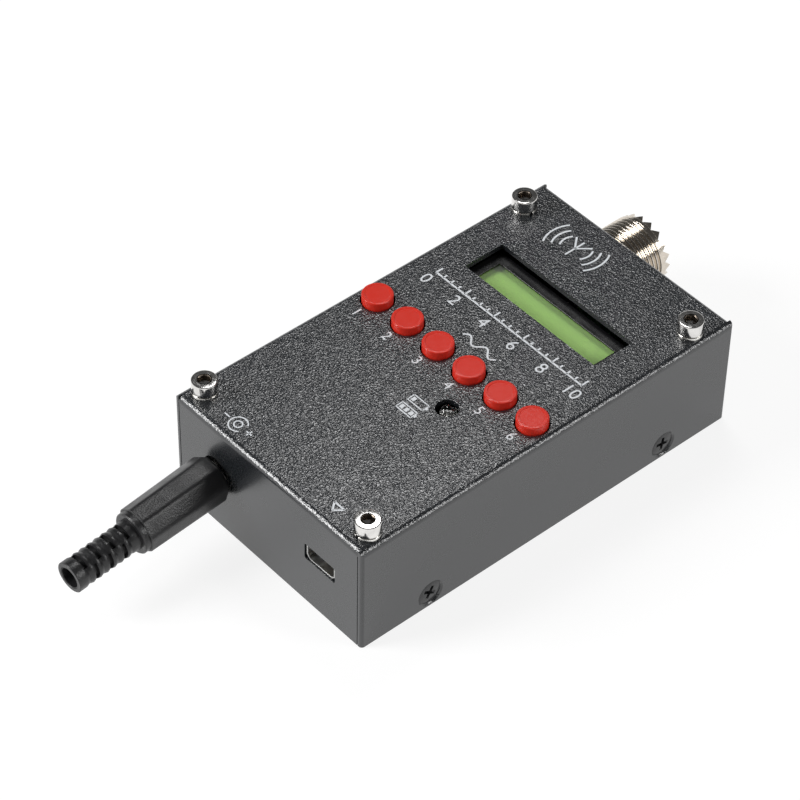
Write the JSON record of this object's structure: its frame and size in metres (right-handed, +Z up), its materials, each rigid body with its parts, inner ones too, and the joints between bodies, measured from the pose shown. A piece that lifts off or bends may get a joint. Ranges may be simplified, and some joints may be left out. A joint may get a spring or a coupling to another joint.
{
  "type": "antenna analyzer",
  "caption": "Pocket antenna analyzer: black folded metal case with a display window, a row of red buttons, a power plug in its jack, a data socket and a threaded coaxial socket.",
  "frame": {"origin": "middle of the case's underside", "axes": "+X to the right when the panel is read, +Y towards the coaxial socket, +Z up out of the panel"},
  "size_m": [0.0576, 0.1506, 0.0308],
  "materials": {
    "shell_paint": "black wrinkle paint",
    "cover_paint": "satin black paint",
    "black_screw": "blackened",
    "bright_screw": "polished",
    "spring_steel": "satin",
    "brass": "satin",
    "circuit_board": "gloss solder mask",
    "chip_plastic": "matte",
    "bright_can": "polished",
    "tinned_wire": "tinned",
    "black_frame": "satin black",
    "display_glass": "clear",
    "display_field": "even yellow green",
    "black_plastic": "moulded",
    "button_red": "gloss",
    "stem_white": "moulded",
    "clear_lens": "clear",
    "socket_steel": "tin plated",
    "plug_metal": "nickel plated",
    "plug_black": "satin moulded",
    "nickel": "nickel plated",
    "insulator": "matte",
    "cell_foil": "foil",
    "foam": "foam",
    "wire_jacket": "smooth",
    "link_white": "moulded"
  },
  "bodies": {
    "case": {"top_shell": "shell_paint", "bottom_cover": "cover_paint", "side_screws": "black_screw", "panel_screws": "bright_screw", "board_screws": "bright_screw", "lock_washers": "spring_steel", "switch_plates": "spring_steel", "switch_domes": "spring_steel", "standoffs": "brass", "coax_contact": "brass", "jack_pin": "brass", "jack_leaf": "brass", "port_contacts": "brass", "display_pins": "brass", "main_board": "circuit_board", "display_board": "circuit_board", "controller_chip": "chip_plastic", "synthesizer_chip": "chip_plastic", "transformer_core": "chip_plastic", "crystal_can": "bright_can", "lamp_leads": "tinned_wire", "display_frame": "black_frame", "display_glass": "display_glass", "display_backlight": "display_field", "display_header": "black_plastic", "display_spacers": "black_plastic", "port_tongue": "black_plastic", "jack_housing": "black_plastic", "switch_base_1": "black_plastic", "switch_base_2": "black_plastic", "switch_base_3": "black_plastic", "switch_base_4": "black_plastic", "switch_base_5": "black_plastic", "switch_base_6": "black_plastic", "lamp_lens": "clear_lens", "port_shell": "socket_steel", "coax_body": "nickel", "coax_insulator": "insulator", "battery_cell": "cell_foil", "battery_pad": "foam", "battery_leads": "wire_jacket", "battery_connector": "link_white"},
    "button_1": {"button_cap_1": "button_red", "button_stem_1": "stem_white"},
    "button_2": {"button_cap_2": "button_red", "button_stem_2": "stem_white"},
    "button_3": {"button_cap_3": "button_red", "button_stem_3": "stem_white"},
    "button_4": {"button_cap_4": "button_red", "button_stem_4": "stem_white"},
    "button_5": {"button_cap_5": "button_red", "button_stem_5": "stem_white"},
    "button_6": {"button_cap_6": "button_red", "button_stem_6": "stem_white"},
    "plug": {"plug_core": "plug_metal", "plug_insulator": "black_plastic", "plug_contact": "brass"},
    "plug_sleeve": {"plug_cover": "plug_black"}
  },
  "joints": [
    {"name": "button_1_press", "type": "slide", "parent": "case", "child": "button_1", "axis": [0, 0, -1], "range_m": [0, 0.0003], "stiffness_N_per_m": 5000},
    {"name": "button_2_press", "type": "slide", "parent": "case", "child": "button_2", "axis": [0, 0, -1], "range_m": [0, 0.0003], "stiffness_N_per_m": 5000},
    {"name": "button_3_press", "type": "slide", "parent": "case", "child": "button_3", "axis": [0, 0, -1], "range_m": [0, 0.0003], "stiffness_N_per_m": 5000},
    {"name": "button_4_press", "type": "slide", "parent": "case", "child": "button_4", "axis": [0, 0, -1], "range_m": [0, 0.0003], "stiffness_N_per_m": 5000},
    {"name": "button_5_press", "type": "slide", "parent": "case", "child": "button_5", "axis": [0, 0, -1], "range_m": [0, 0.0003], "stiffness_N_per_m": 5000},
    {"name": "button_6_press", "type": "slide", "parent": "case", "child": "button_6", "axis": [0, 0, -1], "range_m": [0, 0.0003], "stiffness_N_per_m": 5000},
    {"name": "plug_pull", "type": "slide", "parent": "case", "child": "plug", "axis": [0.0523, -0.9973, -0.0523], "range_m": [0, 0.012]},
    {"name": "cover_turn", "type": "hinge", "parent": "plug", "child": "plug_sleeve", "pos_m": [-0.01615, -0.0453, 0.01435], "axis": [0.0523, -0.9973, -0.0523], "continuous": true}
  ]
}
